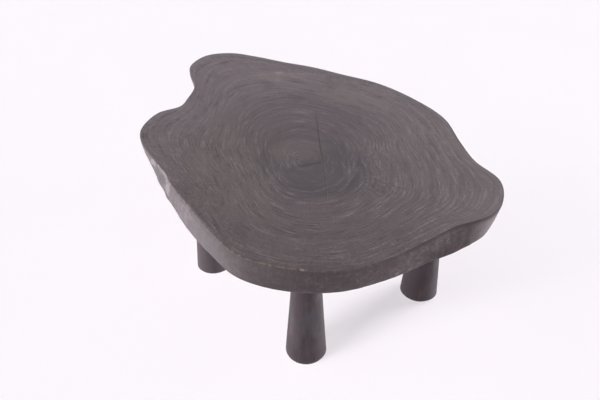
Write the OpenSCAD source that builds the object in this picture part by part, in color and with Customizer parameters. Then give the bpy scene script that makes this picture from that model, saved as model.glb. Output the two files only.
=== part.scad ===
// Live edge coffee table: a slice of a trunk on four turned legs that screw off.
// Millimetres, +Z up. The origin is on the floor, in the middle of the table's outer box.
// +X is the right-hand side and +Y runs from the front lobe to the rear one.

/* [Slab] */
// Length of the top face, front lobe to rear lobe
slab_l = 1168; // [950:2:1400]
// Width of the top face, left lobe to right lobe
slab_w = 908; // [750:2:1100]
// Thickness of the slab
slab_t = 60; // [48:1:90]
// Radius round the upper rim
rim_top_r = 3; // [1:0.5:8]
// Radius round the lower rim
rim_low_r = 8; // [2:0.5:14]
// How far the bare edge swells at mid height
edge_belly = 3; // [0:0.5:8]
// How strongly the foot of the bare edge flares and is undercut, where 1 is as drawn
edge_flare = 1; // [0:0.1:1.5]

/* [Drying checks] */
// Width of the widest drying check, at the pith
check_w = 1; // [0.8:0.2:4]
// Length of the longest drying check, out from the pith
check_l = 300; // [120:10:320]
// Depth of the drying checks
check_depth = 7; // [2:1:20]

/* [Legs] */
// Length of a leg, from the slab to its end grain at the floor
leg_l = 317; // [240:1:450]
// Diameter of a leg at its foot
foot_d = 100; // [70:1:130]
// Diameter of a leg under the slab
leg_top_d = 56; // [54:1:80]
// Radius round the foot's lower rim
foot_rim_r = 5; // [2:0.5:12]

/* [Mounting plates] */
// Diameter of a mounting plate
plate_d = 50; // [46:1:52]
// Thickness of a mounting plate
plate_t = 4; // [3:0.5:6]
// Outside diameter of the plate's threaded hub
hub_d = 16; // [14:0.5:18]
// Height of the hub above the plate
hub_h = 12; // [6:1:20]
// Radial clearance round a plate and its hub in the slab
plate_gap = 0.4; // [0.2:0.1:1]
// Spare depth past the end of what a blind bore holds
bore_end = 2; // [1:0.5:4]

/* [Plate screws] */
// Screws in each plate
screw_count = 4; // [3:1:4]
// Diameter of a screw's shank
screw_d = 4; // [3:0.5:4.5]
// Length of a screw, head included
screw_l = 32; // [20:1:40]
// Diameter of a screw's countersunk head
screw_head_d = 8; // [6:0.5:8]
// Radial clearance round every thread, shank and countersunk head
thread_gap = 0.1; // [0.05:0.05:0.3]
// Diameter of the circle that the screws stand on
screw_ring_d = 34; // [32:0.5:35]

/* [Hanger bolts] */
// Diameter of a hanger bolt
bolt_d = 10; // [8:1:12]
// Length of its machine thread, above the leg
bolt_up = 24; // [18:1:34]
// Length of its wood screw, inside the leg
bolt_down = 56; // [35:1:80]

/* [Floor glides] */
// Diameter of a floor glide
glide_d = 40; // [28:1:60]
// Thickness of a floor glide
glide_t = 3; // [2.5:0.5:5]
// Diameter of the nail through a glide
nail_d = 2.5; // [1.8:0.1:3]
// Length of that nail, head included
nail_l = 22; // [14:1:30]
// Diameter of the nail's head
nail_head_d = 7; // [5:0.5:9]
// Thickness of the nail's head
nail_head_t = 1.2; // [0.8:0.1:1.5]
// How deep the head lies below the glide's face
nail_sunk = 0.3; // [0.2:0.1:0.5]

/* [Hidden] */
SIDES = ["front", "right", "rear", "left"];
LEG_PARTS = ["leg", "mounting_plate", "plate_screws", "hanger_bolt", "floor_glide", "glide_nail"];

// The top face's edge as drawn, anticlockwise from the left lobe: x, y, and how far the foot of the
// bare edge flares outwards there, or is undercut where it is negative, in a slab of the drawn thickness
EDGE = [
    [-453, 5, -10], [-431, -85, -18], [-372, -185, 0], [-317, -285, 5], [-262, -372, 12],
    [-200, -467, 7], [-140, -535, 7], [-45, -573, 7], [60, -583, -2], [155, -549, -2],
    [245, -490, 4], [308, -446, 14], [398, -401, -8], [441, -335, -29], [453, -255, -12],
    [417, -171, -4], [402, -70, 0], [387, 72, 3], [322, 200, 4], [232, 312, 1], [120, 388, -3],
    [26, 451, 2], [-74, 498, 0], [-164, 547, -4], [-260, 585, -7], [-346, 563, -11], [-389, 475, -19],
    [-379, 381, -25], [-351, 290, -5], [-358, 200, 4], [-373, 143, 2], [-428, 99, -6]
];
drawn_t = 60;
// Where each leg stands in that drawing, in the order of SIDES
LEG_SPOTS = [[-4, -444], [308, -233], [-80, 360], [-268, -120]];
// The pith in that drawing
PITH = [38, -177];
// The drying checks: direction from the pith in degrees, and shares of check_l and check_w
CHECKS = [[92, 1, 1], [271, 0.64, 1], [201, 0.25, 0.9], [10, 0.2, 0.7], [73, 0.4, 0.6], [298, 0.43, 0.6]];

edge_steps = 5;
rim_steps = 3;
wall_steps = 4;
over = 1;
leg_facets = 96;
bore_facets = 48;

// The heights of the pieces, from the floor up
leg_z = glide_t;
slab_z = leg_z + leg_l;

// Bores and recesses
bolt_bore_d = bolt_d + 2 * thread_gap;
screw_bore_d = screw_d + 2 * thread_gap;
nail_bore_d = nail_d + 2 * thread_gap;
screw_head_h = (screw_head_d - screw_d) / 2;
screw_point_h = 1.5 * screw_d;
nail_point_h = 2 * nail_d;
bolt_chamfer = bolt_d / 10;
bolt_waist_r = 0.35 * bolt_d;

function column(points, k) = [for (p = points) p[k]];
function span_point(a, b, c, d, t) =
    (2 * b + (c - a) * t + (2 * a - 5 * b + 4 * c - d) * t * t + (3 * b - a - 3 * c + d) * t * t * t) / 2;
// A closed Catmull-Rom curve through the points, with that many steps from each to the next
function closed_curve(points, steps) =
    let (n = len(points)) [
        for (i = [0 : n - 1])
        for (j = [0 : steps - 1])
        span_point(points[(i + n - 1) % n], points[i], points[(i + 1) % n], points[(i + 2) % n], j / steps)
    ];

drawn = closed_curve(EDGE, edge_steps);
drawn_w = max(column(drawn, 0)) - min(column(drawn, 0));
drawn_l = max(column(drawn, 1)) - min(column(drawn, 1));
function sized(p) = [p[0] * slab_w / drawn_w, p[1] * slab_l / drawn_l];

edge = [for (p = drawn) sized(p)];
edge_n = len(edge);
// The outward normal of the edge at each of its points
edge_out = [
    for (i = [0 : edge_n - 1])
    let (along = edge[(i + 1) % edge_n] - edge[(i + edge_n - 1) % edge_n])
    [along[1], -along[0]] / norm(along)
];
// The levels of the bare edge: height in the slab, and how far the rim's rounding takes it in
levels = [
    for (k = [0 : rim_steps]) let (a = 90 * k / rim_steps)
        [rim_low_r * (1 - cos(a)), rim_low_r * (1 - sin(a))],
    for (k = [1 : wall_steps - 1])
        [rim_low_r + (slab_t - rim_low_r - rim_top_r) * k / wall_steps, 0],
    for (k = [rim_steps : -1 : 0]) let (a = 90 * k / rim_steps)
        [slab_t - rim_top_r * (1 - cos(a)), rim_top_r * (1 - sin(a))]
];
// How far the bare edge stands outside the drawn edge, at point i and at share s of the thickness
function stand_out(i, s) =
    edge_flare * drawn[i][2] * slab_t / drawn_t * (1 - s) + edge_belly * sin(180 * s);
rings = [
    for (level = levels) [
        for (i = [0 : edge_n - 1])
        let (p = edge[i] + edge_out[i] * (stand_out(i, level[0] / slab_t) - level[1]))
        [p[0], p[1], level[0]]
    ]
];
slab_points = [for (ring = rings) each ring];
middle = [for (k = [0, 1]) (max(column(slab_points, k)) + min(column(slab_points, k))) / 2];
function on_plan(p) = sized(p) - middle;

// A solid skinned over closed rings that lie one above the other, closed by a fan of triangles from a
// point in the middle of its lowest ring and of its highest
module skin(rings, low, high) {
    n = len(rings[0]);
    top = (len(rings) - 1) * n;
    middle_low = len(rings) * n;
    middle_high = middle_low + 1;
    polyhedron(
        points = concat([for (ring = rings) each ring], [low, high]),
        faces = [
            for (i = [0 : n - 1])
            let (next = (i + 1) % n)
            each concat(
                [[middle_low, i, next], [middle_high, top + next, top + i]],
                [for (k = [0 : n : top - n]) [k + i, k + n + i, k + n + next]],
                [for (k = [0 : n : top - n]) [k + i, k + n + next, k + next]]
            )
        ]
    );
}

// A crack that is widest at the pith and runs out to a point
module drying_check(direction, run, w) {
    rotate(direction)
        linear_extrude(check_depth + over)
            polygon([[0, -w / 2], [run * 0.6, -w * 0.35], [run, 0], [run * 0.6, w * 0.35], [0, w / 2]]);
}

// Puts its children over a leg's spot, counted as in SIDES
module at_leg(k, z) {
    translate(concat(on_plan(LEG_SPOTS[k]), z)) children();
}

// Puts its children at each screw of a plate
module at_screws() {
    for (k = [0 : screw_count - 1])
        rotate(45 + 360 * k / screw_count)
            translate([screw_ring_d / 2, 0, 0]) children();
}

// What is let into the slab's underside over one leg
module fixing_bores() {
    translate([0, 0, -over])
        cylinder(h = plate_t + over, d = plate_d + 2 * plate_gap, $fn = bore_facets);
    cylinder(h = plate_t + hub_h + plate_gap, d = hub_d + 2 * plate_gap, $fn = bore_facets);
    cylinder(h = bolt_up + bore_end, d = bolt_bore_d, $fn = bore_facets);
    at_screws()
        cylinder(h = screw_l + bore_end, d = screw_bore_d, $fn = bore_facets);
}

module slab() {
    color([0.14, 0.13, 0.13])
        difference() {
            translate(concat(-middle, slab_z))
                skin(rings, concat(sized(PITH), 0), concat(sized(PITH), slab_t));
            translate(concat(on_plan(PITH), slab_z + slab_t - check_depth))
                for (check = CHECKS)
                    drying_check(check[0], check[1] * check_l, check[2] * check_w);
            for (k = [0 : len(SIDES) - 1])
                at_leg(k, slab_z) fixing_bores();
        }
}

// A leg turned between centres: rounded at the floor and tapering up to the slab
module leg(k) {
    foot = foot_d / 2;
    color([0.13, 0.12, 0.12])
        at_leg(k, leg_z)
            difference() {
                rotate_extrude($fn = leg_facets)
                    polygon(concat(
                        [[0, 0]],
                        [for (a = [0 : 15 : 90])
                            [foot - foot_rim_r * (1 - sin(a)), foot_rim_r * (1 - cos(a))]],
                        [[leg_top_d / 2, leg_l], [0, leg_l]]
                    ));
                translate([0, 0, leg_l - bolt_down - bore_end])
                    cylinder(h = bolt_down + bore_end + over, d = bolt_bore_d, $fn = bore_facets);
                translate([0, 0, -over])
                    cylinder(h = over + nail_l + bore_end, d = nail_bore_d, $fn = bore_facets);
            }
}

// A steel disc let in flush with the underside, with a threaded hub and countersunk holes
module mounting_plate(k) {
    color([0.72, 0.73, 0.74])
        at_leg(k, slab_z)
            difference() {
                union() {
                    cylinder(h = plate_t, d = plate_d, $fn = leg_facets);
                    cylinder(h = plate_t + hub_h, d = hub_d, $fn = bore_facets);
                }
                translate([0, 0, -over])
                    cylinder(h = plate_t + hub_h + 2 * over, d = bolt_bore_d, $fn = bore_facets);
                at_screws() {
                    translate([0, 0, -over])
                        cylinder(h = plate_t + 2 * over, d = screw_bore_d, $fn = bore_facets);
                    screw_head(thread_gap);
                }
            }
}

// The cone of a countersunk head, whose flat face is at the bottom; grow widens it all round
module screw_head(grow) {
    cylinder(h = screw_head_h, d1 = screw_head_d + 2 * grow, d2 = screw_d + 2 * grow, $fn = bore_facets);
}

// A shank with a conical point at its upper end
module pointed_shank(d, length, point_h) {
    cylinder(h = length - point_h, d = d, $fn = bore_facets);
    translate([0, 0, length - point_h])
        cylinder(h = point_h, d1 = d, d2 = 0, $fn = bore_facets);
}

module plate_screws(k) {
    color([0.80, 0.72, 0.48])
        at_leg(k, slab_z)
            at_screws() {
                screw_head(0);
                pointed_shank(screw_d, screw_l, screw_point_h);
            }
}

// Machine thread above the leg, wood screw with a waist and a point inside it
module hanger_bolt(k) {
    r = bolt_d / 2;
    color([0.72, 0.73, 0.74])
        at_leg(k, slab_z)
            rotate_extrude($fn = bore_facets)
                polygon([
                    [0, -bolt_down], [r, bolt_d - bolt_down], [r, -bolt_d / 2], [bolt_waist_r, -bolt_d / 4],
                    [bolt_waist_r, -bolt_chamfer], [r, 0], [r, bolt_up - bolt_chamfer],
                    [r - bolt_chamfer, bolt_up], [0, bolt_up]
                ]);
}

// A hard plastic disc under the foot, with a rounded lower rim and a sunk nail
module floor_glide(k) {
    rim = glide_t / 2;
    color([0.10, 0.10, 0.10])
        at_leg(k, 0)
            difference() {
                rotate_extrude($fn = leg_facets)
                    polygon(concat(
                        [[0, 0]],
                        [for (a = [0 : 18 : 90]) [glide_d / 2 - rim * (1 - sin(a)), rim * (1 - cos(a))]],
                        [[glide_d / 2, glide_t], [0, glide_t]]
                    ));
                translate([0, 0, -over])
                    cylinder(h = glide_t + 2 * over, d = nail_bore_d, $fn = bore_facets);
                translate([0, 0, -over])
                    cylinder(
                        h = over + nail_sunk + nail_head_t, d = nail_head_d + 2 * plate_gap, $fn = bore_facets
                    );
            }
}

module glide_nail(k) {
    color([0.72, 0.73, 0.74])
        at_leg(k, nail_sunk) {
            cylinder(h = nail_head_t, d = nail_head_d, $fn = bore_facets);
            pointed_shank(nail_d, nail_l, nail_point_h);
        }
}

slab();
for (k = [0 : len(SIDES) - 1]) {
    leg(k);
    mounting_plate(k);
    plate_screws(k);
    hanger_bolt(k);
    floor_glide(k);
    glide_nail(k);
}
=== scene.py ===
"""Looks of the live edge coffee table: a black-stained slice of a trunk on four turned legs.

Laid out as an add-on and run as a script. Every size is in metres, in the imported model's own frame. The
settings come first, then the finishes, the shapes, and one operator for each group of pieces.
"""

import math

import bpy
import numpy as np
from bpy.props import FloatProperty, FloatVectorProperty, IntProperty, PointerProperty
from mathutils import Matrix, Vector


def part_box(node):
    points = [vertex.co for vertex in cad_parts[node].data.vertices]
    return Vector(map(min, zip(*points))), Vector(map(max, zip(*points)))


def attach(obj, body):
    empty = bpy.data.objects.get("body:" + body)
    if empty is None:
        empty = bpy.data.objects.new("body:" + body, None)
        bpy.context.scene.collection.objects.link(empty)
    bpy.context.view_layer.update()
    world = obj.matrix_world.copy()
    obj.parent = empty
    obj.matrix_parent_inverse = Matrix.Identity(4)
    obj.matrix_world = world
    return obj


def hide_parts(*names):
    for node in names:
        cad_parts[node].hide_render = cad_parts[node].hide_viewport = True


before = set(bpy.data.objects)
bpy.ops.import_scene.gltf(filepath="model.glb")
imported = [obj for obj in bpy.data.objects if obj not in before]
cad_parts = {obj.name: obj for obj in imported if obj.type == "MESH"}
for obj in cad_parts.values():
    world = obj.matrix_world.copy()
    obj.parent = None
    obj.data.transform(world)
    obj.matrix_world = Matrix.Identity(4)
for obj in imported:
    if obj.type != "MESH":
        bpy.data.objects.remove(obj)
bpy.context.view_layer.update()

bl_info = {
    "name": "Live Edge Coffee Table",
    "version": (1, 0, 0),
    "blender": (4, 5, 0),
    "location": "3D View > Sidebar > Table",
    "description": "Builds a coffee table of a trunk slice with growth rings, on turned legs",
    "category": "Add Mesh",
}

SIDES = ("front", "right", "rear", "left")
MM = 0.001
TURN = 2 * math.pi

SLAB_LOW, SLAB_HIGH = (corner[2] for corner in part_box("slab"))
# Where the drying checks meet
PITH = np.array([0.0376, -0.1760])
# How far the middle of the growth rings lies from there
DRIFT = np.array([-0.052, 0.010])
# No part of the rim lies nearer to the pith
RIM_LEAST = 0.3
# Seen from the pith, the points of a level that goes all round the slab are nowhere farther apart
RIM_STEP = math.radians(12)
# Columns of faces to each point of the CAD's edge
COLUMNS_PER_POINT = 8
# Where the rows of faces lie between the upper rim, 0, and the lower one, 10
EDGE_ROWS = np.concatenate([np.linspace(0, 3, 9)[:-1], np.linspace(3, 7, 17)[:-1], np.linspace(7, 10, 7)])
# Room round a bolt, round a plate and its hub, and past the end of a bolt, screw or nail
BOLT_ROOM = 0.1 * MM
PLATE_ROOM = 0.4 * MM
END_ROOM = 2 * MM
# Radii of a screw's bore, a screw's head and a nail
SCREW_BORE = 2.1 * MM
SCREW_HEAD = 4 * MM
NAIL = 1.25 * MM
# Every bore in a leg is narrower than the first radius, and the leg itself wider than the second
BORES_WITHIN = 6 * MM
LEG_LEAST = 20 * MM
# The drying checks: direction from the pith in degrees, where each starts and ends, and its greatest width
CHECKS = (
    (92, 0.004, 0.300, 1.8 * MM), (271, 0.006, 0.192, 1.2 * MM), (201, 0.002, 0.078, 3.4 * MM),
    (10, 0.012, 0.070, 0.6 * MM), (71, 0.088, 0.138, 1.2 * MM), (300, 0.100, 0.140, 0.8 * MM),
    (331, 0.155, 0.192, 1.4 * MM), (341, 0.325, 0.372, 0.6 * MM), (116, 0.560, 0.640, 0.6 * MM),
)
# Lumps and hollows in the bare edge: x, y, height, reach along the edge, reach upwards, and how far it
# stands out, or is hollowed where that is negative
LUMPS = (
    (-0.394, -0.150, 0.362, 0.018, 0.012, 3.0 * MM),
    (-0.368, -0.192, 0.364, 0.012, 0.012, -3.0 * MM),
    (-0.347, -0.228, 0.366, 0.026, 0.018, -5.0 * MM),
    (-0.364, -0.200, 0.352, 0.010, 0.012, 2.5 * MM),
    (-0.331, -0.262, 0.360, 0.014, 0.016, 3.0 * MM),
    (-0.372, -0.190, 0.332, 0.030, 0.016, 2.5 * MM),
    (-0.335, -0.250, 0.330, 0.020, 0.012, 3.0 * MM),
    (-0.300, -0.310, 0.345, 0.030, 0.020, -2.0 * MM),
)
# Painted shade in a hollow of that edge, and painted highlights on its ridges, each an ellipse: its middle
# and half lengths along y and z
HOLLOW_SHADE = ((-0.216, 0.356), (0.036, 0.016))
RIDGE_HIGHLIGHTS = (
    ((-0.236, 0.377), (0.040, 0.005)), ((-0.268, 0.362), (0.009, 0.018)), ((-0.163, 0.371), (0.014, 0.008)),
)
# Zones of the top face, each an ellipse: its middle, then its half lengths along x and y
ZONES = {
    # Round the pith
    "heart": ((0.022, -0.190), (0.122, 0.150)),
    "halo": ((0.020, -0.150), (0.125, 0.165)),
    "cap": ((-0.015, -0.115), (0.080, 0.055)),
    "pupil": ((0.055, -0.130), (0.045, 0.055)),
    "swirl": ((-0.045, -0.158), (0.034, 0.046)),
    # Wider zones between the heart and the rim
    "crown": ((0.090, 0.080), (0.120, 0.080)),
    "dusk": ((-0.035, 0.015), (0.185, 0.215)),
    "umber": ((-0.170, -0.180), (0.130, 0.230)),
    "tawny": ((0.165, 0.215), (0.120, 0.110)),
    # Small marks near the front rim
    "flecks": ((0.172, -0.280), (0.050, 0.055)),
    "front_rim": ((0.035, -0.570), (0.065, 0.010)),
    # The knot by the rear lobe
    "knot": ((-0.090, 0.385), (0.070, 0.060)),
    "knot_brow": ((-0.115, 0.425), (0.030, 0.010)),
    "knot_eye": ((-0.092, 0.400), (0.015, 0.012)),
    "knot_tail": ((-0.050, 0.392), (0.040, 0.007)),
    "knot_root": ((-0.090, 0.355), (0.009, 0.025)),
}
# The lamps: name, the setting with its strength, the place it shines from, its width in degrees, and the side
# of the one leg that throws its shadow, if any does
LAMPS = (
    ("key_light", "key", (-1.95, -1.28, 0.80), 28, "front"),
    ("window_light", "window", (-3.0, -0.2, 0.50), 50, None),
    ("side_light", "side_light", (3.0, 0.15, 0.50), 40, None),
    ("back_light", "back_light", (1.6, 0.8, 2.00), 26, "right"),
    ("top_light", "top_light", (0, 0, 3), 10, None),
)
# The point that they are aimed at
LAMP_AIM = Vector((0, 0, 0.1))
FLOOR_RADIUS = 5.0
FLOOR_THICKNESS = 10 * MM
# How much of what the camera sees of the floor is its own plain colour, without light or shadow
FLOOR_PLAIN = 0.15


def linear(colour):
    """The scene-linear RGBA of an sRGB colour."""
    rgb = np.asarray(colour[:3], float)
    return (*np.where(rgb <= 0.04045, rgb / 12.92, ((rgb + 0.055) / 1.055) ** 2.4), 1.0)


def shade(red, green, blue):
    """An sRGB colour from its three values of 0 to 255."""
    return (red / 255, green / 255, blue / 255)


def colour_property(name, description, default):
    """An sRGB colour that a user may change."""
    return FloatVectorProperty(
        name=name, description=description, default=default, size=3, min=0, max=1, subtype="COLOR_GAMMA",
    )


def length_property(name, description, default, highest, lowest=0):
    """A length in metres that a user may change."""
    return FloatProperty(
        name=name, description=description, default=default, min=lowest, max=highest, precision=4,
        subtype="DISTANCE", unit="LENGTH",
    )


def share_property(name, description, default, highest, lowest=0):
    """A share that a user may change."""
    return FloatProperty(
        name=name, description=description, default=default, min=lowest, max=highest, subtype="FACTOR",
    )


def strength_property(name, description, default):
    """A lamp's strength that a user may change."""
    return FloatProperty(name=name, description=description, default=default, min=0, max=10)


class TableSlabSettings(bpy.types.PropertyGroup):
    """Sizes and colours of the slab"""

    swell: length_property("Swell", "Depth of the bare edge's long waves", 1.2 * MM, 0.01)
    flute: length_property("Flutes", "Depth of the upright flutes in the bare edge", 0.3 * MM, 0.005)
    lump: share_property("Hollows", "How deep the hollows by the left lobe are, 1 for full depth", 1.0, 2)
    check_depth: length_property("Check depth", "Depth of the drying checks", 7 * MM, 0.02)
    round_out: share_property(
        "Ring rounding", "How soon the outline's lobes fade in the rings towards the pith", 0.82, 2, 0.05,
    )
    ring_oval: share_property("Oval rings", "How much longer than wide the rings half way out are", 0.32, 0.6)
    ring_rows: IntProperty(
        name="Ring rows", description="Rows of faces from the rim to the pith", default=22, min=6, max=60,
    )
    ring_colour: colour_property("Rings", "The stained end grain", shade(81, 72, 75))
    far_colour: colour_property("Far rings", "The end grain of the rear lobe", shade(92, 82, 87))
    late_colour: colour_property("Dark rings", "The dark side of each growth ring", shade(56, 49, 51))
    pale_colour: colour_property("Pale rings", "The pale side of each growth ring", shade(112, 102, 105))
    heart_colour: colour_property("Heart", "The darker wood round the pith", shade(60, 55, 61))
    wall_colour: colour_property("Bare edge", "The stained sapwood of the bare edge", shade(66, 58, 61))
    under_colour: colour_property("Underside", "The sawn underside", shade(66, 60, 62))
    raw_colour: colour_property("Raw wood", "Wood inside the bores", shade(150, 112, 78))


class TableLegSettings(bpy.types.PropertyGroup):
    """Sizes and colours of the legs"""

    wobble: length_property("Wobble", "How far a turned leg is out of round", 0.35 * MM, 0.003)
    bore_gap: length_property("Bore gap", "Radial clearance round bolt and nail", 0.1 * MM, 0.001)
    leg_colour: colour_property("Legs", "The stained wood of the legs", shade(64, 56, 60))
    worn_colour: colour_property("Worn spots", "Where the stain is rubbed thin", shade(92, 68, 60))


class TableFixingSettings(bpy.types.PropertyGroup):
    """Colours of the fixings and glides"""

    zinc_colour: colour_property("Zinc", "Bright zinc on steel", shade(188, 191, 195))
    yellow_colour: colour_property("Yellow zinc", "Yellow zinc on screws", shade(206, 182, 118))
    glide_colour: colour_property("Glides", "Black nylon", shade(34, 34, 35))


class TableStageSettings(bpy.types.PropertyGroup):
    """Camera, floor and light"""

    distance: length_property("Distance", "From the table's middle forward to the camera", 1.4059, 5)
    side: length_property("Side step", "How far to the right the camera stands", -0.0192, 5, -5)
    height: length_property("Height", "Height of the camera above the floor", 1.110, 5)
    pitch: FloatProperty(
        name="Pitch", description="How far the camera looks down", default=math.radians(34.47),
        subtype="ANGLE", unit="ROTATION",
    )
    lens: FloatProperty(
        name="Lens", description="Focal length on a sensor 36 mm wide", default=34.55, min=10, max=200,
        subtype="DISTANCE_CAMERA",
    )
    floor_colour: colour_property("Floor", "The pale floor and backdrop", shade(254, 249, 254))
    key: strength_property("Key light", "Strength of the low lamp at the front on the left", 2.6)
    window: strength_property("Window", "Strength of the wide low lamp on the left", 3.1)
    side_light: strength_property("Side light", "Strength of the wide low lamp on the right", 4.4)
    back_light: strength_property("Back light", "Strength of the higher lamp behind on the right", 0.82)
    top_light: strength_property("Top light", "Strength of the lamp overhead", 0.37)
    skylight: strength_property("Skylight", "Strength of the world", 0.06)


class Wire:
    """A number that varies over a surface: plain arithmetic on it adds Math nodes to its tree."""

    def __init__(self, nodes, socket):
        self.nodes = nodes
        self.socket = socket

    def math(self, operation, *numbers):
        """A Math node over wires and plain numbers."""
        return self.nodes.add("Math", {"operation": operation}, numbers)

    def __add__(self, other):
        return self.math("ADD", self, other)

    def __sub__(self, other):
        return self.math("SUBTRACT", self, other)

    def __rsub__(self, other):
        return self.math("SUBTRACT", other, self)

    def __mul__(self, other):
        return self.math("MULTIPLY", self, other)

    def __truediv__(self, other):
        return self.math("DIVIDE", self, other)

    __radd__ = __add__
    __rmul__ = __mul__

    def __abs__(self):
        return self.math("ABSOLUTE", self)

    def root(self):
        return self.math("SQRT", self)

    def sine(self):
        return self.math("SINE", self)

    def larger(self, other):
        return self.math("MAXIMUM", self, other)

    def rise(self, low, high):
        """0 below low and 1 above high, with a smooth rise between them. It falls where low is the larger."""
        settings = {"interpolation_type": "SMOOTHSTEP", "clamp": True}
        if low < high:
            return self.nodes.add("MapRange", settings, [self, low, high, 0.0, 1.0])
        return self.nodes.add("MapRange", settings, [self, high, low, 1.0, 0.0])


class Nodes:
    """A node tree, to which each new node is added by its type, settings and inputs."""

    def __init__(self, tree):
        self.tree = tree

    def add(self, kind, settings=None, inputs=(), output=0):
        """A new node. Its settings are set before its sockets."""
        node = self.tree.nodes.new("ShaderNode" + kind)
        for name, value in (settings or {}).items():
            setattr(node, name, value)
        for key, value in inputs.items() if isinstance(inputs, dict) else enumerate(inputs):
            self.feed(node.inputs[key], value)
        return Wire(self, node.outputs[output])

    def feed(self, socket, value):
        """Links a socket to a wire, or sets it to a constant."""
        if isinstance(value, Wire):
            self.tree.links.new(value.socket, socket)
        else:
            socket.default_value = value


class Finish(Nodes):
    """One material: a Principled surface and the nodes that feed it."""

    def __init__(self, name, specular=0.5, metallic=0.0):
        self.material = bpy.data.materials.new(name)
        self.material.use_nodes = True
        super().__init__(self.material.node_tree)
        self.surface = self.tree.nodes["Principled BSDF"]
        self.surface.inputs["Specular IOR Level"].default_value = specular
        self.surface.inputs["Metallic"].default_value = metallic

    def place(self):
        """The three Object coordinates, in metres."""
        return self.parts(self.add("TexCoord", output="Object"))

    def growth(self):
        """The slab's own map: the share of the way from the pith to the rim, the cosine and the sine of the
        angle, and both of these times the share."""
        u, v, _ = self.parts(self.add("UVMap", {"uv_map": "growth"}))
        out = (u * u + v * v + 1e-6).root()
        return out, u / out, v / out, u, v

    def parts(self, vector):
        """The three numbers of a vector."""
        split = self.add("SeparateXYZ", inputs=[vector])
        return [Wire(self, socket) for socket in split.socket.node.outputs]

    def noise(self, x, y, z, detail=2.0, roughness=0.5):
        """Smooth noise about 0, mostly within a quarter either way, with features about 1 across."""
        vector = self.add("CombineXYZ", inputs=[x, y, z])
        return self.add(
            "TexNoise", {"noise_dimensions": "3D"},
            {"Vector": vector, "Scale": 1.0, "Detail": detail, "Roughness": roughness},
        ) - 0.5

    def reach(self, x, y, middle, half):
        """How far out a place is from the middle of an ellipse: 1 on the ellipse itself."""
        across = (x - middle[0]) / half[0]
        along = (y - middle[1]) / half[1]
        return (across * across + along * along).root()

    def patch(self, x, y, middle, half, ragged=0.0):
        """1 inside an ellipse and 0 outside, with a soft border that is as ragged as what is added to it."""
        return (self.reach(x, y, middle, half) + ragged * 0.5).rise(1.25, 0.65)

    def mix(self, share, first, second):
        """A colour between two, where share runs from 0 to 1."""
        return self.add(
            "Mix", {"data_type": "RGBA", "blend_type": "MIX", "clamp_factor": True},
            {0: share, 6: first, 7: second}, output=2,
        )

    def tinge(self, colour, *layers):
        """A colour with others laid over it, each given by its mask, its strength and its own colour."""
        for mask, strength, over in layers:
            colour = self.mix(mask * strength, colour, linear(over))
        return colour

    def paint(self, colour, roughness, height, depth):
        """Feeds the surface its colour, its roughness, and bumps of that height as a share of a depth."""
        self.feed(self.surface.inputs["Base Color"], colour)
        self.feed(self.surface.inputs["Roughness"], roughness)
        inputs = {"Strength": 1.0, "Distance": depth, "Height": height}
        bump = self.add("Bump", inputs=inputs, output="Normal")
        self.feed(self.surface.inputs["Normal"], bump)
        return self.material


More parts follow.
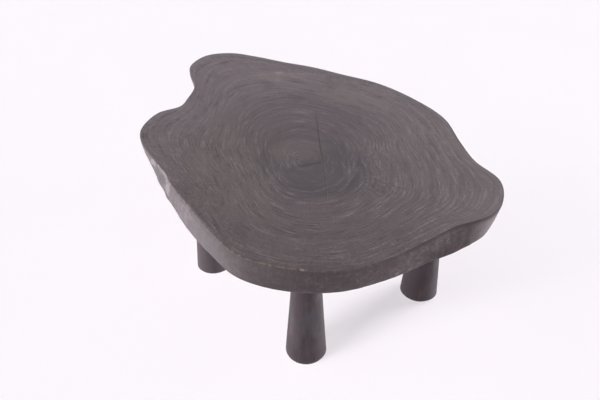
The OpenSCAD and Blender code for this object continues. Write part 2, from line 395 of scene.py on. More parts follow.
def ring_finish(slab):
    """End grain: growth rings of three widths, rays, a darker heart, a knot and the edges of the checks."""
    finish = Finish("stained_end_grain", specular=0.35)
    x, y, _ = finish.place()
    out, east, north, u, v = finish.growth()

    # The lines of the grain along and across the rings
    sway = finish.noise(x * 5, y * 5, 0.0)
    waver = finish.noise(x * 24, y * 24, 4.0)
    inner = out.rise(0.32, 0.12)
    ring = out + sway * 0.030 + waver * (inner * 0.022 + 0.014)
    fine = finish.noise(ring * 150, u * 12, v * 12, detail=3.0, roughness=0.6)
    middle = finish.noise(ring * 66, u * 7, v * 7, roughness=0.55)
    broad = finish.noise(ring * 20, u * 4, v * 4)
    lines = finish.noise(ring * 88, east * 2.5, north * 2.5)
    rays = finish.noise(east * 110, north * 110, ring * 12, roughness=0.6)
    strokes = finish.noise(east * 48, north * 48, ring * 30)
    grain = finish.noise(x * 260, y * 260, 0.0, detail=3.0, roughness=0.65)
    cloud = finish.noise(x * 7, y * 7, 3.0, detail=3.0)

    # How strongly each of them shows, and where
    right = east.rise(0.35, 0.95) * out.rise(0.40, 0.75)
    rear = y.rise(-0.05, 0.20) * (1 - x.rise(0.05, 0.30))
    loud = (0.98 - inner * 0.50) * (1 - rear * 0.12)
    patchy = finish.noise(x * 15, y * 15, 8.0).rise(-0.2, 0.2) + 0.5
    bands = (fine * 0.98 + middle * 0.68) * loud * patchy + broad * 0.35 + lines * (right * 1.2 + 0.1)
    across = (rays * 0.3 + strokes * 0.35) * (0.5 + out.rise(0.6, 0.95) * 0.6)
    tone = bands + (across + grain * 0.6) * (loud * 0.8 + 0.2)
    dashes = finish.noise(ring * 84, u * 26, v * 26).rise(-0.06, -0.22) * cloud.rise(-0.2, 0.1)
    dashes = dashes * (1 - x.rise(0.0, -0.12) * y.rise(-0.18, -0.02) * 0.6)
    stains = finish.noise(x * 19, y * 12, 12.0).rise(0.06, 0.22)
    contour = abs(ring + waver * 0.05 - 0.605).rise(0.009, 0.0) * north.rise(0.45, 0.8) * x.rise(-0.08, 0.02)

    def zone(name, border=0.0):
        """A mask of one zone of the face, with a border as ragged as what is given."""
        return finish.patch(x, y, *ZONES[name], border)

    ragged = cloud * 2.2 + broad * 1.8 + middle * 1.2
    torn = waver * 6 + strokes * 3
    halo = abs(finish.reach(x, y, *ZONES["halo"]) - 1 + cloud * 0.3).rise(0.24, 0.02)
    halo = halo * (1 - y.rise(-0.12, -0.02)) * (1 - x.rise(0.08, 0.15) * y.rise(-0.26, -0.17))
    swirl = zone("swirl") * fine.rise(-0.02, 0.16)
    flecks = zone("flecks", cloud * 2) * strokes.rise(0.04, 0.14)
    edge, check_stain_and_shade = check_edges(x, y)
    colour = finish.tinge(
        finish.mix(y.rise(-0.35, 0.35), linear(slab.ring_colour), linear(slab.far_colour)),
        (x.rise(-0.25, -0.42), 0.50, shade(97, 88, 92)),
        (zone("umber", ragged), 0.35, shade(98, 87, 84)),
        (zone("tawny", ragged), 0.20, shade(118, 107, 104)),
        (zone("dusk", cloud * 1.5), 0.50, shade(62, 55, 58)),
        (zone("crown", ragged), 0.32, shade(74, 66, 72)),
        (zone("heart", ragged), 0.70, slab.heart_colour),
        (halo, 0.50, shade(58, 53, 57)),
        (zone("cap", ragged), 0.40, shade(96, 85, 82)),
        (zone("pupil", ragged), 0.30, shade(62, 58, 64)),
        (tone.rise(0.0, 0.36), 0.85, slab.pale_colour),
        (tone.rise(0.0, -0.36), 1.00, slab.late_colour),
        (dashes, 0.60, slab.late_colour),
        (stains, 0.25, slab.late_colour),
        (right, 0.25, slab.pale_colour),
        (x.rise(0.29, 0.40), 0.14, slab.pale_colour),
        (contour, 0.35, shade(70, 62, 65)),
        (swirl, 0.45, shade(128, 120, 121)),
        (flecks, 0.28, shade(128, 119, 121)),
        (zone("front_rim"), 0.50, shade(58, 51, 54)),
        (zone("knot", cloud * 4), 0.15, shade(132, 120, 112)),
        (zone("knot_brow", waver * 4), 0.30, shade(70, 62, 62)),
        (zone("knot_eye", torn), 0.28, shade(160, 148, 142)),
        (zone("knot_tail", torn), 0.15, shade(150, 138, 134)),
        (zone("knot_root", torn), 0.10, shade(150, 138, 134)),
        # Stain beside the checks, also painted shade of the checks
        (check_stain_and_shade, 0.55, shade(44, 37, 39)),
        (edge * strokes.rise(-0.2, 0.1), 0.32, shade(132, 124, 122)),
    )
    height = fine * 0.7 + middle * 0.4 + rays * 0.3 + grain * 0.5
    return finish.paint(colour, 0.6 + fine * 0.25 + cloud * 0.2, height, 0.6 * MM)


def check_edges(x, y):
    """Two masks along the three drying checks at the heart: the pale edge that stands on one side of each,
    and the dark line of stain that sank in beside it, which is also painted shade of the check."""
    pale = 0.0
    check_stain_and_shade = 0.0
    # How plainly the pale edge of each shows
    for number, strength in enumerate((0.4, 1.0, 0.0)):
        direction, start, end, width = CHECKS[number]
        ahead, aside = compass(direction)
        off = (x - PITH[0]) * aside[0] + (y - PITH[1]) * aside[1]
        run = (x - PITH[0]) * ahead[0] + (y - PITH[1]) * ahead[1]
        share = (run - start) * (1 / (end - start))
        off = off - check_wander(number, share, end - start, Wire.sine)
        ends = share.rise(0.0, 0.1) * share.rise(1.1, 0.7)
        edge = abs(off - width - 0.6 * MM).rise(1.1 * MM, 0.2 * MM)
        line = abs(off).rise(width / 2 + 1.6 * MM, width / 2 + 0.2 * MM)
        pale = edge * ends * strength + pale
        check_stain_and_shade = line * ends * (1 - strength * 0.6) + check_stain_and_shade
    return pale, check_stain_and_shade


def wall_finish(slab):
    """The bare edge: wrinkles and upright fibres, blotches, and a rim where the stain is rubbed to brown
    under a painted highlight, with painted light and shade.
    """
    finish = Finish("stained_bare_edge", specular=0.22)
    x, y, z = finish.place()

    # The fibres and the marks of the bark that came off
    sway = finish.noise(x * 9, y * 9, z * 14)
    fibres = finish.noise(x * 420 + sway * 3, y * 420 + sway * 3, z * 30, detail=3.0, roughness=0.6)
    cords = finish.noise(x * 95 + sway * 2, y * 95 + sway * 2, z * 12, detail=3.0)
    blotch = finish.noise(x * 18, y * 18, z * 26, detail=4.0, roughness=0.6)
    mottle = finish.noise(x * 60 + sway * 3, y * 60, z * 75, detail=4.0, roughness=0.65)
    scales = finish.noise(x * 150 + blotch * 6, y * 150, z * 190 + sway * 8, detail=2.0, roughness=0.6)
    pits = finish.noise(x * 210, y * 210, z * 150)

    # How strongly they show from the left lobe over the smoother front to the right tip
    left = x.rise(-0.11, -0.25)
    right = x.rise(0.03, 0.20)
    calm = 1 - y.rise(-0.36, -0.46) * x.rise(0.03, -0.06) * 0.5
    upright = fibres * (0.3 - right * 0.15) + cords * (left * 0.33 - right * 0.15 + 0.15)
    speckled = (mottle + scales) * (0.32 + left * 0.14 + x.rise(0.02, 0.12) * 0.2)
    tone = (upright + blotch * 0.5 + speckled) * calm
    # Painted light on the right tip, as lit from the right
    tip = x.rise(0.325, 0.425) * y.rise(-0.20, -0.29) * (cords * 1.2 + 0.95)

    # Painted shade in bands along the upper rim, the rim's wear with a painted highlight, and the marks on
    # the left lobe
    drop = SLAB_HIGH - z
    below = drop.rise(14 * MM, 5 * MM) * y.rise(-0.20, -0.40)
    rim_shade = drop.rise(6.5 * MM, 3.5 * MM) * x.rise(0.10, 0.24)
    rim = drop.rise(3.2 * MM, 1.4 * MM)
    rim_wear_and_highlight = rim * (cords + mottle * 0.6).rise(-0.16, 0.14) * x.rise(0.12, 0.0)
    spot = finish.patch(x, y, (-0.0155, -0.5755), (0.0045, 0.010), mottle * 6) * rim
    rough = mottle * 4 + cords * 3
    hollow_shade = finish.patch(y, z, *HOLLOW_SHADE, rough)
    ridge_highlight = 0.0
    for middle, half in RIDGE_HIGHLIGHTS:
        ridge_highlight = finish.patch(y, z, middle, half, rough).larger(ridge_highlight)

    colour = finish.tinge(
        finish.mix(tone.rise(-0.05, 0.34), linear(slab.wall_colour), linear(shade(118, 108, 110))),
        (tone.rise(0.05, -0.30), 1.00, shade(52, 45, 47)),
        # Paler left lobe: partly its greyer, dusty wood, partly painted light from the left
        (left, 0.36, shade(128, 120, 125)),
        # Painted shade in the hollow
        (left * hollow_shade, 0.55, shade(82, 78, 82)),
        # Painted highlights on the ridges
        (left * ridge_highlight, 0.35, shade(168, 162, 166)),
        (x.rise(0.0, 0.08) * x.rise(0.26, 0.15), 0.07, shade(128, 112, 116)),
        # Darker right side: partly its purple-brown stain, partly painted shade
        (x.rise(0.17, 0.31), 0.86, shade(45, 33, 38)),
        (right * mottle.rise(-0.06, 0.16), 0.30, shade(88, 70, 74)),
        (right * blotch.rise(0.02, 0.25), 0.22, shade(98, 82, 86)),
        # Painted light on the right tip
        (tip, 0.62, shade(154, 143, 148)),
        # Painted shade under the upper rim, at the front and along the right
        (below, 0.35, shade(62, 53, 54)),
        (rim_shade, 0.65, shade(36, 26, 23)),
        # The upper rim: partly rubbed to brown, partly a painted highlight
        (rim_wear_and_highlight, 0.36, shade(134, 116, 107)),
        (spot, 0.40, shade(172, 146, 126)),
    )
    height = fibres * 0.3 + cords * (0.5 - right * 0.4) + blotch * 0.4 + mottle * 0.7 + scales * 0.5
    height = (height - pits.rise(-0.14, -0.26) * 0.3) * calm
    return finish.paint(colour, 0.62 + cords * 0.3, height, 0.8 * MM)


def underside_finish(slab):
    """Sawn end grain: straight saw marks across faint growth rings."""
    finish = Finish("sawn_underside", specular=0.3)
    x, y, _ = finish.place()
    out, _, _, u, v = finish.growth()
    sway = finish.noise(x * 3, y * 3, 7.0)
    rings = finish.noise((out + sway * 0.05) * 60, u * 3, v * 3, detail=3.0)
    saw = finish.noise((x + y * 0.12) * 380, sway * 2, y * 2.2)
    cloud = finish.noise(x * 7, y * 7, 5.0, detail=4.0)
    tone = rings * 0.8 + saw * 0.6 + cloud * 0.8
    colour = finish.mix(tone.rise(-0.3, 0.4), linear(shade(52, 47, 48)), linear(slab.under_colour))
    colour = finish.tinge(colour, (cloud.rise(0.05, 0.3), 0.4, shade(92, 80, 74)))
    return finish.paint(colour, 0.75 + saw * 0.2, saw * 0.8 + rings * 0.3, 0.6 * MM)


def check_finish():
    """The walls of a drying check: dark with stain that sank in, and made near black as painted shade, since
    no lamp throws the slab's shadow into the check.
    """
    finish = Finish("drying_check", specular=0.1)
    x, y, z = finish.place()
    torn = finish.noise(x * 300, y * 300, z * 60, detail=3.0)
    colour = finish.mix(torn.rise(-0.3, 0.3), linear(shade(10, 8, 8)), linear(shade(26, 22, 22)))
    return finish.paint(colour, 0.8 + torn * 0.2, torn, 0.2 * MM)


def raw_finish(slab):
    """Bored wood without stain: rings of the drill across short fibres."""
    finish = Finish("raw_bored_wood", specular=0.3)
    x, y, z = finish.place()
    drill = finish.noise(x * 40, y * 40, z * 900)
    fibre = finish.noise(x * 500, y * 500, z * 60, detail=3.0)
    colour = finish.mix(fibre.rise(-0.3, 0.3), linear(shade(120, 84, 56)), linear(slab.raw_colour))
    return finish.paint(colour, 0.75 + drill * 0.3, drill * 0.6 + fibre * 0.4, 0.3 * MM)


def leg_finish(legs):
    """Stained side grain: long upright fibres, faint marks of the turning tool and rubbed spots."""
    finish = Finish("stained_turned_wood", specular=0.15)
    x, y, z = finish.place()
    sway = finish.noise(x * 12, y * 12, z * 5)
    fibres = finish.noise(x * 340 + sway * 6, y * 340 + sway * 6, z * 11, detail=4.0, roughness=0.62)
    cords = finish.noise(x * 70 + sway * 4, y * 70 + sway * 4, z * 4, detail=3.0)
    turning = finish.noise(x * 6, y * 6, z * 520)
    blotch = finish.noise(x * 26, y * 26, z * 17, detail=3.0)
    cool = finish.noise(x * 22, y * 22, z * 8 + 5, detail=3.0)
    tone = fibres * 0.5 + cords * 0.5 + blotch * 0.8
    colour = finish.tinge(
        finish.mix(tone.rise(0.0, 0.5), linear(legs.leg_colour), linear(shade(100, 91, 95))),
        (tone.rise(0.0, -0.4), 1.0, shade(42, 35, 38)),
        (cool.rise(0.0, 0.15), 0.40, shade(82, 82, 87)),
        (cool.rise(0.0, -0.15), 0.30, shade(58, 44, 48)),
        (blotch.rise(0.04, 0.2) * fibres.rise(-0.4, 0.1), 0.20, legs.worn_colour),
        # Painted shade on the left side of the right leg
        (x.rise(0.15, 0.25) * x.rise(0.33, 0.26), 0.45, shade(40, 33, 36)),
        # Paler left leg: partly its own tone, partly painted light from the left
        (x.rise(-0.18, -0.26), 0.26, shade(100, 93, 97)),
        # Pale lower rim of the foot: partly scuffed wood, partly a painted highlight
        (z.rise(12 * MM, 4 * MM) * fibres.rise(-0.2, 0.2), 0.5, shade(116, 108, 107)),
    )
    return finish.paint(colour, 0.55 + cords * 0.3, fibres * 0.6 + cords * 0.5 + turning * 0.12, 0.5 * MM)


def steel_finish(name, colour, scratch):
    """Plated steel: a metal with fine scratches and a cloudy passivation."""
    finish = Finish(name, metallic=1.0)
    x, y, z = finish.place()
    fine = finish.noise(x * scratch, y * 300, z * 900, detail=3.0)
    cloud = finish.noise(x * 90, y * 90, z * 90, detail=3.0)
    tint = finish.mix(cloud.rise(-0.2, 0.2), linear([c * 0.86 for c in colour]), linear(colour))
    return finish.paint(tint, 0.34 + fine * 0.24 + cloud * 0.1, fine, 0.05 * MM)


def nylon_finish(colour):
    """Moulded nylon: a fine spark texture, and dust ground in from the floor."""
    finish = Finish("black_nylon", specular=0.45)
    x, y, z = finish.place()
    spark = finish.noise(x * 1600, y * 1600, z * 1600)
    dust = finish.noise(x * 120, y * 120, z * 120, detail=3.0)
    tint = finish.mix(spark.rise(-0.3, 0.3), linear(colour), linear(shade(48, 47, 47)))
    tint = finish.tinge(tint, (dust.rise(0.0, 0.3), 0.4, shade(96, 92, 88)))
    return finish.paint(tint, 0.5 + spark * 0.3, spark, 0.08 * MM)


def compass(degrees):
    """The flat unit vector in a direction, and the one a quarter turn to its left."""
    angle = math.radians(degrees)
    return np.array([math.cos(angle), math.sin(angle)]), np.array([-math.sin(angle), math.cos(angle)])


def check_wander(number, share, length, sine=np.sin):
    """How far a drying check strays to its left at a share of its length: a sum of three sines, of 1, 3 and 7
    half waves, each at most 1.2% of the length over that number."""
    draw = np.random.default_rng(100 + number)
    return sum(sine(share * (math.pi * n)) * (draw.uniform(-1, 1) / n * length * 0.012) for n in (1, 3, 7))


def corners(node):
    """All vertices of a CAD node, as an array."""
    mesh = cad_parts[node].data
    points = np.empty(len(mesh.vertices) * 3, np.float32)
    mesh.vertices.foreach_get("co", points)
    return points.reshape(-1, 3).astype(float)


def axis_of(node):
    """The upright axis through the middle of a node's box."""
    low, high = (np.array(corner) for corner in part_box(node))
    return (low + high)[:2] / 2


def half_width(node):
    """Half the width of a node's box."""
    low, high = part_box(node)
    return (high.x - low.x) / 2


def polar(points, centre=PITH):
    """How far each point is from an upright axis, and its angle about it."""
    across, along = (points[:, :2] - centre).T
    return np.hypot(across, along), np.arctan2(along, across)


def smooth_through(rows, places, closed):
    """Rows interpolated by a Catmull-Rom curve. Whole places are the given rows, and between two rows it is
    the cubic (2b + (c-a)t + (2a-5b+4c-d)t^2 + (3b-a-3c+d)t^3) / 2 of the four rows a to d around it."""
    count = len(rows)
    start = np.floor(places).astype(int)
    near = [start + k for k in (-1, 0, 1, 2)]
    a, b, c, d = (rows[k % count if closed else np.clip(k, 0, count - 1)] for k in near)
    t = (places - start).reshape(-1, *[1] * (rows.ndim - 1))
    return (2 * b + (c - a) * t + (2 * a - 5 * b + 4 * c - d) * t**2 + (3 * b - a - 3 * c + d) * t**3) / 2


def wall_levels():
    """Rings of the CAD slab's wall, highest first, as an array of levels by points. The height with the
    fewest vertices that still go all round holds nothing but the wall: it is sorted by angle about the pith,
    and every other level takes the vertices nearest to it."""
    points = corners("slab")
    heights = np.round(points[:, 2], 5)
    rings = [np.unique(np.round(points[heights == h], 6), axis=0) for h in np.unique(heights)[::-1]]
    rings = [ring for ring in rings if widest_gap(ring) < RIM_STEP]
    plain = min(rings, key=len)
    plain = plain[np.argsort(polar(plain)[1])]
    levels = []
    for ring in rings:
        apart = np.linalg.norm(ring[None, :, :2] - plain[:, None, :2], axis=2)
        levels.append(ring[apart.argmin(1)])
    return np.array(levels)


def widest_gap(ring):
    """The widest angle about the pith between neighbours, of the points far enough out for the rim."""
    radius, angle = polar(ring)
    angle = np.sort(angle[radius > RIM_LEAST])
    if len(angle) < 3:
        return TURN
    return np.diff(angle, append=angle[0] + TURN).max()


def waves(around, up, numbers, lean, seed):
    """Ripples on a closed wall, mostly from -1 to 1: a sum of cosines of 2 pi n u + m z + p, where each whole
    number n from the range, each m within the lean and each phase p is drawn once. The twelve cosines are
    divided by the root of twelve."""
    draw = np.random.default_rng(seed)
    total = np.zeros(np.broadcast(around, up).shape)
    count = 12
    for _ in range(count):
        phase = TURN * draw.integers(*numbers) * around + draw.uniform(-lean, lean) * up
        total += np.cos(phase + draw.uniform(0, TURN))
    return total / math.sqrt(count)


def bare_edge(settings):
    """The wall from its upper rim to its lower one, rows by columns: the CAD's levels smoothed both ways,
    then moved along its outward normal by long waves, upright flutes and the lumps by the left lobe. Each
    lump is a bell, exp(-(along / reach)^2 - (up / reach)^2). The waves and flutes fade to 0.3 of their depth
    over the last 12 mm below the upper rim. Nothing goes outside the CAD slab's own box."""
    levels = wall_levels()
    count = levels.shape[1]
    columns = np.arange(count * COLUMNS_PER_POINT) / COLUMNS_PER_POINT
    around = smooth_through(levels.swapaxes(0, 1), columns, closed=True).swapaxes(0, 1)
    wall = smooth_through(around, EDGE_ROWS * (len(levels) - 1) / 10, closed=False)
    along = np.roll(wall, -1, axis=1) - np.roll(wall, 1, axis=1)
    outward = np.stack([along[..., 1], -along[..., 0]], -1)
    outward /= np.linalg.norm(outward, axis=-1, keepdims=True)
    share = (columns / count)[None, :]
    height = wall[..., 2]
    fade = np.clip((SLAB_HIGH - height) / (12 * MM), 0, 1)
    fade = 0.3 + 0.7 * fade * fade * (3 - 2 * fade)
    stand = settings.swell / 2 * waves(share, height, numbers=(5, 22), lean=30, seed=1)
    stand += settings.flute / 2 * waves(share, height, numbers=(50, 140), lean=25, seed=2)
    stand = stand * fade
    for x, y, z, reach, rise, lump in LUMPS:
        far = np.hypot(wall[..., 0] - x, wall[..., 1] - y) / reach
        stand += settings.lump * lump * np.exp(-far**2 - ((height - z) / rise) ** 2)
    wall[..., :2] += outward * stand[..., None]
    low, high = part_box("slab")
    wall[..., :2] = np.clip(wall[..., :2], low[:2], high[:2])
    return wall


def growth_rings(rim, shares, settings):
    """Rings between the pith and a rim, rows by columns. In polar form about the pith, the ring at share s
    is the rim's radius times s, with the outline's k-th harmonic weakened by s^0.48, or by
    s^(round_out (k - 4)) where that is less, and with the mean radius times
    s^1.16 (1 - s) (oval cos 2a + 0.08 cos a) taken off, which makes the rings oval. On the right, by the
    share exp(-((a - 0.05) / 0.75)^4), the harmonics fade with s^(2 round_out (k - 2)) instead. The ring's
    middle lies at the drift times (1 - s)^2 from the pith. Also gives each column's angle a."""
    radius, angle = polar(rim)
    samples = 2048
    even = np.arange(samples) / samples * TURN
    harmonics = np.fft.rfft(np.interp(even, angle, radius, period=TURN))
    number = np.arange(len(harmonics))
    shares = shares[:, None]

    def rings_fading(power):
        """The ring at each share, with each harmonic but the mean weakened by the share to its power."""
        power = np.where(number == 0, 0, np.maximum(0.48, power))
        return np.fft.irfft(harmonics * shares ** (1 + power), samples)

    right = np.exp(-((np.abs((even + math.pi) % TURN - math.pi - 0.05) / 0.75) ** 4))
    rings = rings_fading(settings.round_out * (number - 4)) * (1 - right)
    rings += rings_fading(2 * settings.round_out * (number - 2)) * right
    oval = settings.ring_oval * np.cos(2 * even) + 0.08 * np.cos(even)
    rings -= harmonics[0].real / samples * shares**1.16 * (1 - shares) * oval
    radii = np.array([np.interp(angle, even, ring, period=TURN) for ring in rings])
    flat = PITH + DRIFT * (1 - shares[..., None]) ** 2
    flat = flat + radii[..., None] * np.stack([np.cos(angle), np.sin(angle)], -1)
    return np.concatenate([flat, np.broadcast_to(rim[None, :, 2:], flat.shape[:2] + (1,))], -1), angle


def closed_surface(name, rows, first, last, growth=None, smooth=40):
    """A closed mesh over rows of points that go round an axis anticlockwise seen from the first pole, from
    one pole to the other. growth holds a flat map's two coordinates for each point and pole. Edges that bend
    by more than smooth degrees are drawn sharp."""
    count, around = rows.shape[:2]
    points = np.concatenate([rows.reshape(-1, 3), [first, last]])
    row, column = np.meshgrid(np.arange(count - 1), np.arange(around), indexing="ij")
    here = row * around + column
    beside = row * around + (column + 1) % around
    quads = np.stack([here, here + around, beside + around, beside], -1).reshape(-1, 4)
    ends = np.arange(around)
    after = (ends + 1) % around
    top, bottom = count * around, count * around + 1
    low = (count - 1) * around
    caps = np.concatenate([
        np.stack([np.full(around, top), ends, after], -1),
        np.stack([np.full(around, bottom), low + after, low + ends], -1),
    ])
    mesh = bpy.data.meshes.new(name)
    loops = np.concatenate([quads.ravel(), caps.ravel()])
    starts = np.concatenate([np.arange(len(quads)) * 4, len(quads) * 4 + np.arange(len(caps)) * 3])
    mesh.vertices.add(len(points))
    mesh.vertices.foreach_set("co", points.ravel())
    mesh.loops.add(len(loops))
    mesh.loops.foreach_set("vertex_index", loops)
    mesh.polygons.add(len(starts))
    mesh.polygons.foreach_set("loop_start", starts)
    mesh.update(calc_edges=True)
    if growth is not None:
        layer = mesh.uv_layers.new(name="growth")
        layer.uv.foreach_set("vector", growth[loops].ravel())
    mesh.shade_smooth()
    mesh.set_sharp_from_angle(angle=math.radians(smooth))
    mesh.validate()
    piece = bpy.data.objects.new(name, mesh)
    bpy.context.scene.collection.objects.link(piece)
    return piece


def lathe(name, profile, centre, columns=64, wobble=0.0, seed=0):
    """A turned piece: a profile of (radius, height) from the top of its axis to the bottom, carried round the
    axis. wobble is how far its widest part is out of round, and narrower parts are by their share of it."""
    profile = np.array(profile, float)
    turn = np.arange(columns) / columns
    radius, height = profile[1:-1].T[..., None]
    share = radius / profile[:, 0].max()
    radius = radius * np.ones(columns)
    if wobble:
        radius += wobble * share * (waves(turn[None, :], height, numbers=(1, 7), lean=25, seed=seed) - 1)
    rows = np.stack([
        centre[0] + radius * np.cos(turn * TURN),
        centre[1] + radius * np.sin(turn * TURN),
        np.broadcast_to(height, radius.shape),
    ], -1)
    return closed_surface(name, rows, (*centre, profile[0, 1]), (*centre, profile[-1, 1]))


def carve(piece, cutters, smooth):
    """Cuts each cutter out of the piece, keeps the result as its mesh and removes the cutters. Edges that
    bend by more than smooth degrees are drawn sharp."""
    for cutter in cutters:
        cut = piece.modifiers.new(cutter.name, "BOOLEAN")
        cut.operation = "DIFFERENCE"
        cut.solver = "MANIFOLD"
        cut.material_mode = "TRANSFER"
        cut.object = cutter
    bpy.context.view_layer.update()
    shaped = bpy.data.meshes.new_from_object(piece.evaluated_get(bpy.context.evaluated_depsgraph_get()))
    shaped.set_sharp_from_angle(angle=math.radians(smooth))
    piece.modifiers.clear()
    piece.data = shaped
    for cutter in cutters:
        bpy.data.objects.remove(cutter)


def check_cutter(number, direction, start, end, width, depth, material):
    """A drying check's space: a wedge of three edges that wanders out from the pith. At share t of its
    length its width is 0.1 mm plus sin(pi (0.03 + 0.97 t))^0.4 (1 - t)^0.3 of the greatest, and its depth is
    0.3 mm plus (1 - t)^0.5 of the greatest, which is less in proportion for a check under 150 mm long."""
    stations = 60
    t = np.linspace(0.0, 0.995, stations)
    half = width / 2 * np.sin(math.pi * (0.03 + 0.97 * t)) ** 0.4 * (1 - t) ** 0.3 + 0.05 * MM
    deep = depth * (1 - t) ** 0.5 * min(1, (end - start) / 0.15) + 0.3 * MM
    ahead, aside = compass(direction)
    run = start + t * (end - start)
    middle = PITH + ahead * run[:, None] + aside * check_wander(number, t, end - start)[:, None]
    high = np.full((stations, 1), SLAB_HIGH + 1 * MM)
    left = np.hstack([middle + aside * half[:, None], high])
    right = np.hstack([middle - aside * half[:, None], high])
    bottom = np.hstack([middle, SLAB_HIGH - deep[:, None]])
    rows = np.stack([left, right, bottom], 1)
    cutter = closed_surface(f"check_cutter_{number}", rows, rows[0].mean(0), rows[-1].mean(0))
    cutter.data.materials.append(material)
    return cutter


def dress(piece, slot, *materials):
    """Gives a new piece its finishes and its place in the part."""
    for material in materials:
        piece.data.materials.append(material)
    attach(piece, "root")


class TABLE_OT_slab(bpy.types.Operator):
    """Make the slab with its growth rings, bare edge, drying checks and bores"""

    bl_idname = "table.slab"
    bl_label = "Slab"

    def execute(self, context):
        settings = context.scene.table_slab
        # Rows go from the pith over the top face, down the bare edge and back to the pith below, where every
        # third ring will do
        wall = bare_edge(settings)
        shares = (np.arange(settings.ring_rows, 0, -1) / (settings.ring_rows + 1)) ** 0.9
        upper, angle = growth_rings(wall[0], shares, settings)
        lower, _ = growth_rings(wall[-1], shares[::3], settings)
        rows = np.concatenate([upper[::-1], wall, lower])
        spread = np.concatenate([shares[::-1], np.ones(len(wall)), shares[::3]])
        growth = spread[:, None, None] * np.stack([np.cos(angle), np.sin(angle)], -1)
        slab = closed_surface(
            "live_edge_slab", rows, (*PITH + DRIFT, SLAB_HIGH), (*PITH + DRIFT, SLAB_LOW),
            growth=np.concatenate([growth.reshape(-1, 2), np.zeros((2, 2))]), smooth=60,
        )
        raw = raw_finish(settings)
        # The checks' walls: stain and painted shade, near black in place of the shade inside them
        check_stain_and_shade = check_finish()
        dress(slab, "slab_wood", ring_finish(settings), wall_finish(settings), underside_finish(settings))
        # The top face takes the first finish, the bare edge the second and the underside the third. The fans
        # at the two poles come last
        around = wall.shape[1]
        turn = np.arange(len(slab.data.polygons)) // around
        kinds = np.select([turn < len(upper), turn < len(upper) + len(wall) - 1], [0, 1], 2)
        kinds[-2 * around:] = np.repeat([0, 2], around)
        slab.data.polygons.foreach_set("material_index", kinds.astype(np.int32))
        depth = settings.check_depth
        cutters = [check_cutter(number, *check, depth, check_stain_and_shade) for number, check in enumerate(CHECKS)]
        carve(slab, cutters + fixing_cutters(raw), smooth=60)
        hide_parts("slab")
        return {"FINISHED"}


def joined(name, pieces):
    """Several meshes as one object."""
    with bpy.context.temp_override(active_object=pieces[0], selected_editable_objects=pieces):
        bpy.ops.object.join()
    pieces[0].name = name
    return pieces[0]


def fixing_cutters(material):
    """What the fixings take out of the slab's underside: over each leg a stepped bore for plate, hub and
    bolt, and one bore for each screw."""
    steps = []
    screws = []
    under = SLAB_LOW - 1 * MM
    for side in SIDES:
        centre = axis_of(f"mounting_plate_{side}")
        plate = corners(f"mounting_plate_{side}")
        radius, _ = polar(plate, centre)
        plate_top = plate[radius > radius.max() - 0.5 * MM, 2].max()
        hub_top = plate[:, 2].max() + PLATE_ROOM
        hub = radius[plate[:, 2] > plate_top + 1 * MM].max() + PLATE_ROOM
        wide = radius.max() + PLATE_ROOM
        bolt = f"hanger_bolt_{side}"
        bolt_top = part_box(bolt)[1].z + END_ROOM
        shank = half_width(bolt) + BOLT_ROOM
        steps.append(lathe(f"bore_{side}", [
            (0, bolt_top), (shank, bolt_top), (shank, hub_top), (hub, hub_top),
            (hub, plate_top), (wide, plate_top), (wide, under), (0, under),
        ], centre))
        group = f"plate_screws_{side}"
        top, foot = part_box(group)[1].z + END_ROOM, plate_top - 1 * MM
        ring = (half_width(group) - SCREW_HEAD) * math.sqrt(2)
        for quarter in range(4):
            ahead, _ = compass(45 + 90 * quarter)
            profile = [(0, top), (SCREW_BORE, top), (SCREW_BORE, foot), (0, foot)]
            name = f"screw_bore_{side}_{quarter}"
            screws.append(lathe(name, profile, centre + ring * ahead, columns=32))
    cutters = [joined("fixing_bores", steps), joined("screw_bores", screws)]
    for cutter in cutters:
        cutter.data.materials.append(material)
    return cutters


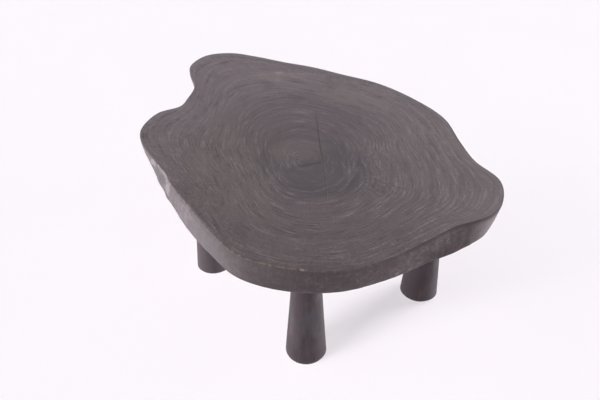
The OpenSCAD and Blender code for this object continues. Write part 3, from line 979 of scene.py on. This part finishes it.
class TABLE_OT_legs(bpy.types.Operator):
    """Make the four turned legs with their bores"""

    bl_idname = "table.legs"
    bl_label = "Legs"

    def execute(self, context):
        settings = context.scene.table_legs
        stained = leg_finish(settings)
        raw = raw_finish(context.scene.table_slab)
        for number, side in enumerate(SIDES):
            leg = self.turn(settings, side, number)
            dress(leg, "leg_wood", stained, raw)
            middles = np.empty(len(leg.data.polygons) * 3, np.float32)
            leg.data.polygons.foreach_get("center", middles)
            radius, _ = polar(middles.reshape(-1, 3), axis_of(f"leg_{side}"))
            leg.data.polygons.foreach_set("material_index", (radius < BORES_WITHIN).astype(np.int32))
            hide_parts(f"leg_{side}")
        return {"FINISHED"}

    def turn(self, settings, side, number):
        """A leg's profile from the bottom of its bolt hole, up and over its end, down the tapered side,
        round the foot and up into the nail hole, carried round its axis. The side and foot are the CAD leg's
        own outline, with more rows."""
        node = f"leg_{side}"
        centre = axis_of(node)
        points = corners(node)
        radius, _ = polar(points, centre)
        heights = np.round(points[:, 2], 5)
        levels = np.unique(heights)[::-1]
        outline = np.array([(radius[heights == level].max(), level) for level in levels])
        outline = outline[outline[:, 0] > LEG_LEAST]
        (narrow, top), low = outline[0], outline[-1, 1]
        bolt = f"hanger_bolt_{side}"
        bolt_bore = half_width(bolt) + settings.bore_gap
        nail_bore = NAIL + settings.bore_gap
        bore_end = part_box(bolt)[0].z - END_ROOM
        nail_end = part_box(f"glide_nail_{side}")[1].z + END_ROOM
        taper = np.linspace(0, 1, 40)[1:-1]
        side_rows = [tuple(outline[0] + (outline[1] - outline[0]) * t) for t in taper]
        spans = len(outline) - 2
        foot = smooth_through(outline[1:], np.linspace(0, spans, 3 * spans + 1), closed=False)
        profile = [(0, bore_end), (bolt_bore, bore_end), (bolt_bore, top)]
        profile += [(narrow - 0.6 * MM, top), (narrow - 0.1 * MM, top - 0.5 * MM)]
        profile += side_rows + [tuple(point) for point in foot]
        profile += [(nail_bore, low), (nail_bore, nail_end), (0, nail_end)]
        name = f"turned_leg_{side}"
        return lathe(name, profile, centre, columns=128, wobble=settings.wobble, seed=20 + number)


class TABLE_OT_fixings(bpy.types.Operator):
    """Give the plates, screws, bolts, glides and nails their finishes"""

    bl_idname = "table.fixings"
    bl_label = "Fixings and glides"

    def execute(self, context):
        settings = context.scene.table_fixings
        zinc = steel_finish("bright_zinc", settings.zinc_colour, 60)
        yellow = steel_finish("yellow_zinc", settings.yellow_colour, 300)
        nylon = nylon_finish(settings.glide_colour)
        finishes = {
            "mounting_plate": zinc, "hanger_bolt": zinc, "glide_nail": zinc,
            "plate_screws": yellow, "floor_glide": nylon,
        }
        for part, material in finishes.items():
            for side in SIDES:
                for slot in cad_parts[f"{part}_{side}"].material_slots:
                    slot.material = material
        return {"FINISHED"}


class TABLE_OT_stage(bpy.types.Operator):
    """Set up the camera, the floor and the light"""

    bl_idname = "table.stage"
    bl_label = "Stage"

    def execute(self, context):
        settings = context.scene.table_stage
        self.camera(context, settings)
        self.floor(settings)
        for name, strength, place, width, leg in LAMPS:
            self.lamp(context, name, place, width, getattr(settings, strength), leg)
        self.world(context, settings)
        context.scene.view_settings.view_transform = "Standard"
        return {"FINISHED"}

    def camera(self, context, settings):
        """A camera in front of the table, which looks straight back and down."""
        data = bpy.data.cameras.new("camera")
        data.sensor_fit = "HORIZONTAL"
        data.sensor_width = 36
        data.lens = settings.lens
        camera = bpy.data.objects.new("camera", data)
        camera.location = (settings.side, -settings.distance, settings.height)
        camera.rotation_euler = (math.pi / 2 - settings.pitch, 0, 0)
        context.scene.collection.objects.link(camera)
        context.scene.camera = camera

    def floor(self, settings):
        """A round floor. To the camera it is partly its own plain colour, so that only soft shadows show."""
        columns = 96
        turn = np.arange(columns) / columns * TURN
        ring = np.stack([FLOOR_RADIUS * np.cos(turn), FLOOR_RADIUS * np.sin(turn), np.zeros(columns)], -1)
        rows = np.stack([ring, ring - [0, 0, FLOOR_THICKNESS]])
        floor = closed_surface("floor", rows, (0, 0, 0), (0, 0, -FLOOR_THICKNESS))
        finish = Finish("pale_floor", specular=0.1)
        x, y, _ = finish.place()
        dust = finish.noise(x * 2.2, y * 2.2, 0.0, detail=3.0)
        pale = linear(settings.floor_colour)
        colour = finish.mix(dust.rise(-0.4, 0.4) * 0.2, pale, linear(shade(246, 240, 247)))
        floor.data.materials.append(finish.paint(colour, 0.9 + dust * 0.1, dust, 0.2 * MM))
        shown = finish.add("Emission", inputs=[pale, 1.0])
        straight = finish.add("LightPath", output="Is Camera Ray")
        lit = Wire(finish, finish.surface.outputs[0])
        mixed = finish.add("MixShader", inputs=[straight * FLOOR_PLAIN, lit, shown])
        finish.feed(finish.tree.nodes["Material Output"].inputs["Surface"], mixed)

    def lamp(self, context, name, place, width, energy, leg):
        """A far lamp that shines from a place towards the legs, as wide as an angle in degrees. Only the
        leg on the side named throws its shadow."""
        data = bpy.data.lights.new(name, "SUN")
        data.angle = math.radians(width)
        data.energy = energy
        lamp = bpy.data.objects.new(name, data)
        lamp.location = place
        lamp.rotation_euler = (lamp.location - LAMP_AIM).to_track_quat("Z", "Y").to_euler()
        context.scene.collection.objects.link(lamp)
        data.use_shadow = bool(leg)
        if leg:
            blockers = bpy.data.collections.new(f"{name}_blockers")
            blockers.objects.link(bpy.data.objects[f"turned_leg_{leg}"])
            lamp.light_linking.blocker_collection = blockers

    def world(self, context, settings):
        """An even sky that looks white to the camera and in reflections, and lights at its own strength."""
        world = bpy.data.worlds.new("backdrop")
        world.use_nodes = True
        context.scene.world = world
        nodes = Nodes(world.node_tree)
        seen = nodes.add("LightPath", output="Is Camera Ray")
        for other in ("Is Glossy Ray", "Is Transmission Ray"):
            seen = seen.larger(nodes.add("LightPath", output=other))
        sky = world.node_tree.nodes["Background"]
        nodes.feed(sky.inputs["Color"], linear(settings.floor_colour))
        nodes.feed(sky.inputs["Strength"], seen * (1 - settings.skylight) + settings.skylight)


class VIEW3D_PT_table(bpy.types.Panel):
    """Lists the table's pieces and their settings"""

    bl_label = "Live Edge Coffee Table"
    bl_space_type = "VIEW_3D"
    bl_region_type = "UI"
    bl_category = "Table"

    def draw(self, context):
        for operator, settings in STEPS:
            box = self.layout.box()
            box.operator(operator.bl_idname)
            group = getattr(context.scene, settings)
            for name in group.bl_rna.properties.keys():
                if name not in ("rna_type", "name"):
                    box.prop(group, name)


SETTINGS = {
    "table_slab": TableSlabSettings,
    "table_legs": TableLegSettings,
    "table_fixings": TableFixingSettings,
    "table_stage": TableStageSettings,
}
STEPS = (
    (TABLE_OT_slab, "table_slab"),
    (TABLE_OT_legs, "table_legs"),
    (TABLE_OT_fixings, "table_fixings"),
    (TABLE_OT_stage, "table_stage"),
)
CLASSES = (*SETTINGS.values(), *(operator for operator, _ in STEPS), VIEW3D_PT_table)


def register():
    """Adds the classes, and each group of settings to the scene."""
    for each in CLASSES:
        bpy.utils.register_class(each)
    for name, group in SETTINGS.items():
        setattr(bpy.types.Scene, name, PointerProperty(type=group))


def unregister():
    """Takes off what register added."""
    for name in SETTINGS:
        delattr(bpy.types.Scene, name)
    for each in reversed(CLASSES):
        bpy.utils.unregister_class(each)


def main():
    """Builds the whole table."""
    register()
    bpy.ops.table.slab()
    bpy.ops.table.legs()
    bpy.ops.table.fixings()
    bpy.ops.table.stage()


if __name__ == "__main__":
    main()
